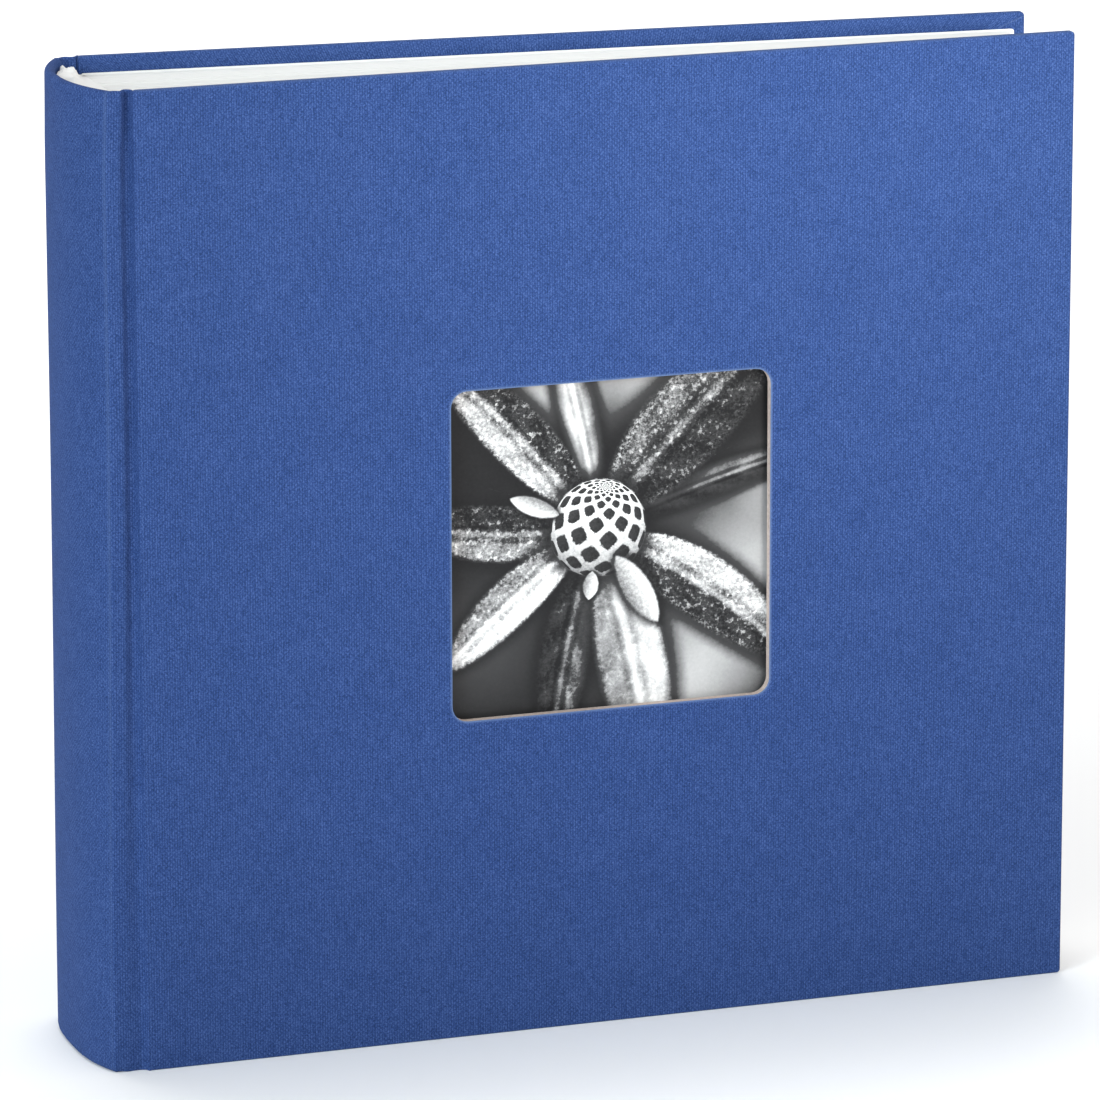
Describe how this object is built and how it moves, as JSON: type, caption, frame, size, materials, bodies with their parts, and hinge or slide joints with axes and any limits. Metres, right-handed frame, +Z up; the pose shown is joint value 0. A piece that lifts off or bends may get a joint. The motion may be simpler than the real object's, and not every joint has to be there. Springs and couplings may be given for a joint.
{
  "type": "scrapbook album",
  "caption": "Cloth-covered hardcover scrapbook album, standing on its tail edge, with a rounded spine, a picture window in the front cover, and leaves that fan as the covers open.",
  "frame": {"origin": "centre of the bounding box on the surface that the album stands on, closed", "axes": "+Z up the spine towards the head, +X towards the fore-edge, -Y out of the front cover"},
  "size_m": [0.314, 0.0636, 0.3],
  "materials": {
    "book_cloth": "matt fine linen-weave book cloth",
    "greyboard": "raw cut greyboard",
    "endpaper": "smooth matt white paper",
    "page_card": "matt white album card",
    "glassine": "translucent calendered glassine",
    "picture": "semi-gloss black-and-white print",
    "stiffener_card": "raw card",
    "mull": "open-weave starched gauze"
  },
  "bodies": {
    "text_block": {"guard_block": "page_card", "spine_lining": "mull", "spine_stiffener": "stiffener_card", "spine_cloth": "book_cloth", "front_joint_cloth": "book_cloth", "back_joint_cloth": "book_cloth"},
    "front_cover": {"front_board": "greyboard", "front_cloth": "book_cloth", "front_pastedown": "endpaper", "window_pocket": "endpaper"},
    "window_picture": {"window_print": "picture"},
    "back_cover": {"back_board": "greyboard", "back_cloth": "book_cloth", "back_pastedown": "endpaper"},
    "front_endleaf": {"front_flyleaf": "endpaper"},
    "page_01": {"leaf_01": "page_card", "interleaf_01": "glassine"},
    "page_02": {"leaf_02": "page_card", "interleaf_02": "glassine"},
    "page_03": {"leaf_03": "page_card", "interleaf_03": "glassine"},
    "page_04": {"leaf_04": "page_card", "interleaf_04": "glassine"},
    "page_05": {"leaf_05": "page_card", "interleaf_05": "glassine"},
    "page_06": {"leaf_06": "page_card", "interleaf_06": "glassine"},
    "page_07": {"leaf_07": "page_card", "interleaf_07": "glassine"},
    "page_08": {"leaf_08": "page_card", "interleaf_08": "glassine"},
    "page_09": {"leaf_09": "page_card", "interleaf_09": "glassine"},
    "page_10": {"leaf_10": "page_card", "interleaf_10": "glassine"},
    "page_11": {"leaf_11": "page_card", "interleaf_11": "glassine"},
    "page_12": {"leaf_12": "page_card", "interleaf_12": "glassine"},
    "page_13": {"leaf_13": "page_card", "interleaf_13": "glassine"},
    "page_14": {"leaf_14": "page_card", "interleaf_14": "glassine"},
    "page_15": {"leaf_15": "page_card", "interleaf_15": "glassine"},
    "page_16": {"leaf_16": "page_card", "interleaf_16": "glassine"},
    "page_17": {"leaf_17": "page_card", "interleaf_17": "glassine"},
    "page_18": {"leaf_18": "page_card", "interleaf_18": "glassine"},
    "page_19": {"leaf_19": "page_card", "interleaf_19": "glassine"},
    "page_20": {"leaf_20": "page_card", "interleaf_20": "glassine"},
    "back_endleaf": {"back_flyleaf": "endpaper"}
  },
  "joints": [
    {"name": "front_cover_open", "type": "hinge", "parent": "text_block", "child": "front_cover", "pos_m": [-0.1446, -0.03046, 0], "axis": [0, 0, -1], "range_deg": [0, 180]},
    {"name": "back_cover_open", "type": "hinge", "parent": "text_block", "child": "back_cover", "pos_m": [-0.1446, 0.03074, 0], "axis": [0, 0, 1], "range_deg": [0, 180]},
    {"name": "window_print_slide", "type": "slide", "parent": "front_cover", "child": "window_picture", "axis": [0, 0, 1], "range_m": [0, 0.12]},
    {"name": "front_flyleaf_turn", "type": "hinge", "parent": "text_block", "child": "front_endleaf", "pos_m": [-0.1398, -0.02656, 0], "axis": [0, 0, -1], "range_deg": [0, 90]},
    {"name": "page_01_turn", "type": "hinge", "parent": "text_block", "child": "page_01", "pos_m": [-0.1398, -0.02399, 0], "axis": [0, 0, -1], "range_deg": [0, 54]},
    {"name": "page_02_turn", "type": "hinge", "parent": "text_block", "child": "page_02", "pos_m": [-0.1398, -0.02143, 0], "axis": [0, 0, -1], "range_deg": [0, 48.6]},
    {"name": "page_03_turn", "type": "hinge", "parent": "text_block", "child": "page_03", "pos_m": [-0.1398, -0.01886, 0], "axis": [0, 0, -1], "range_deg": [0, 43.2]},
    {"name": "page_04_turn", "type": "hinge", "parent": "text_block", "child": "page_04", "pos_m": [-0.1398, -0.01629, 0], "axis": [0, 0, -1], "range_deg": [0, 37.8]},
    {"name": "page_05_turn", "type": "hinge", "parent": "text_block", "child": "page_05", "pos_m": [-0.1398, -0.01373, 0], "axis": [0, 0, -1], "range_deg": [0, 32.4]},
    {"name": "page_06_turn", "type": "hinge", "parent": "text_block", "child": "page_06", "pos_m": [-0.1398, -0.01116, 0], "axis": [0, 0, -1], "range_deg": [0, 27]},
    {"name": "page_07_turn", "type": "hinge", "parent": "text_block", "child": "page_07", "pos_m": [-0.1398, -0.00859, 0], "axis": [0, 0, -1], "range_deg": [0, 21.6]},
    {"name": "page_08_turn", "type": "hinge", "parent": "text_block", "child": "page_08", "pos_m": [-0.1398, -0.00603, 0], "axis": [0, 0, -1], "range_deg": [0, 16.2]},
    {"name": "page_09_turn", "type": "hinge", "parent": "text_block", "child": "page_09", "pos_m": [-0.1398, -0.00346, 0], "axis": [0, 0, -1], "range_deg": [0, 10.8]},
    {"name": "page_10_turn", "type": "hinge", "parent": "text_block", "child": "page_10", "pos_m": [-0.1398, -0.00089, 0], "axis": [0, 0, -1], "range_deg": [0, 5.4]},
    {"name": "page_11_turn", "type": "hinge", "parent": "text_block", "child": "page_11", "pos_m": [-0.1398, 0.00167, 0], "axis": [0, 0, 1], "range_deg": [0, 5.4]},
    {"name": "page_12_turn", "type": "hinge", "parent": "text_block", "child": "page_12", "pos_m": [-0.1398, 0.00424, 0], "axis": [0, 0, 1], "range_deg": [0, 10.8]},
    {"name": "page_13_turn", "type": "hinge", "parent": "text_block", "child": "page_13", "pos_m": [-0.1398, 0.00681, 0], "axis": [0, 0, 1], "range_deg": [0, 16.2]},
    {"name": "page_14_turn", "type": "hinge", "parent": "text_block", "child": "page_14", "pos_m": [-0.1398, 0.00937, 0], "axis": [0, 0, 1], "range_deg": [0, 21.6]},
    {"name": "page_15_turn", "type": "hinge", "parent": "text_block", "child": "page_15", "pos_m": [-0.1398, 0.01194, 0], "axis": [0, 0, 1], "range_deg": [0, 27]},
    {"name": "page_16_turn", "type": "hinge", "parent": "text_block", "child": "page_16", "pos_m": [-0.1398, 0.01451, 0], "axis": [0, 0, 1], "range_deg": [0, 32.4]},
    {"name": "page_17_turn", "type": "hinge", "parent": "text_block", "child": "page_17", "pos_m": [-0.1398, 0.01707, 0], "axis": [0, 0, 1], "range_deg": [0, 37.8]},
    {"name": "page_18_turn", "type": "hinge", "parent": "text_block", "child": "page_18", "pos_m": [-0.1398, 0.01964, 0], "axis": [0, 0, 1], "range_deg": [0, 43.2]},
    {"name": "page_19_turn", "type": "hinge", "parent": "text_block", "child": "page_19", "pos_m": [-0.1398, 0.02221, 0], "axis": [0, 0, 1], "range_deg": [0, 48.6]},
    {"name": "page_20_turn", "type": "hinge", "parent": "text_block", "child": "page_20", "pos_m": [-0.1398, 0.02477, 0], "axis": [0, 0, 1], "range_deg": [0, 54]},
    {"name": "back_flyleaf_turn", "type": "hinge", "parent": "text_block", "child": "back_endleaf", "pos_m": [-0.1398, 0.02734, 0], "axis": [0, 0, 1], "range_deg": [0, 90]}
  ],
  "couplings": [
    {"joint": "front_flyleaf_turn", "follows": "front_cover_open", "ratio": 0.5},
    {"joint": "page_01_turn", "follows": "front_cover_open", "ratio": 0.3},
    {"joint": "page_02_turn", "follows": "front_cover_open", "ratio": 0.27},
    {"joint": "page_03_turn", "follows": "front_cover_open", "ratio": 0.24},
    {"joint": "page_04_turn", "follows": "front_cover_open", "ratio": 0.21},
    {"joint": "page_05_turn", "follows": "front_cover_open", "ratio": 0.18},
    {"joint": "page_06_turn", "follows": "front_cover_open", "ratio": 0.15},
    {"joint": "page_07_turn", "follows": "front_cover_open", "ratio": 0.12},
    {"joint": "page_08_turn", "follows": "front_cover_open", "ratio": 0.09},
    {"joint": "page_09_turn", "follows": "front_cover_open", "ratio": 0.06},
    {"joint": "page_10_turn", "follows": "front_cover_open", "ratio": 0.03},
    {"joint": "page_11_turn", "follows": "back_cover_open", "ratio": 0.03},
    {"joint": "page_12_turn", "follows": "back_cover_open", "ratio": 0.06},
    {"joint": "page_13_turn", "follows": "back_cover_open", "ratio": 0.09},
    {"joint": "page_14_turn", "follows": "back_cover_open", "ratio": 0.12},
    {"joint": "page_15_turn", "follows": "back_cover_open", "ratio": 0.15},
    {"joint": "page_16_turn", "follows": "back_cover_open", "ratio": 0.18},
    {"joint": "page_17_turn", "follows": "back_cover_open", "ratio": 0.21},
    {"joint": "page_18_turn", "follows": "back_cover_open", "ratio": 0.24},
    {"joint": "page_19_turn", "follows": "back_cover_open", "ratio": 0.27},
    {"joint": "page_20_turn", "follows": "back_cover_open", "ratio": 0.3},
    {"joint": "back_flyleaf_turn", "follows": "back_cover_open", "ratio": 0.5}
  ]
}
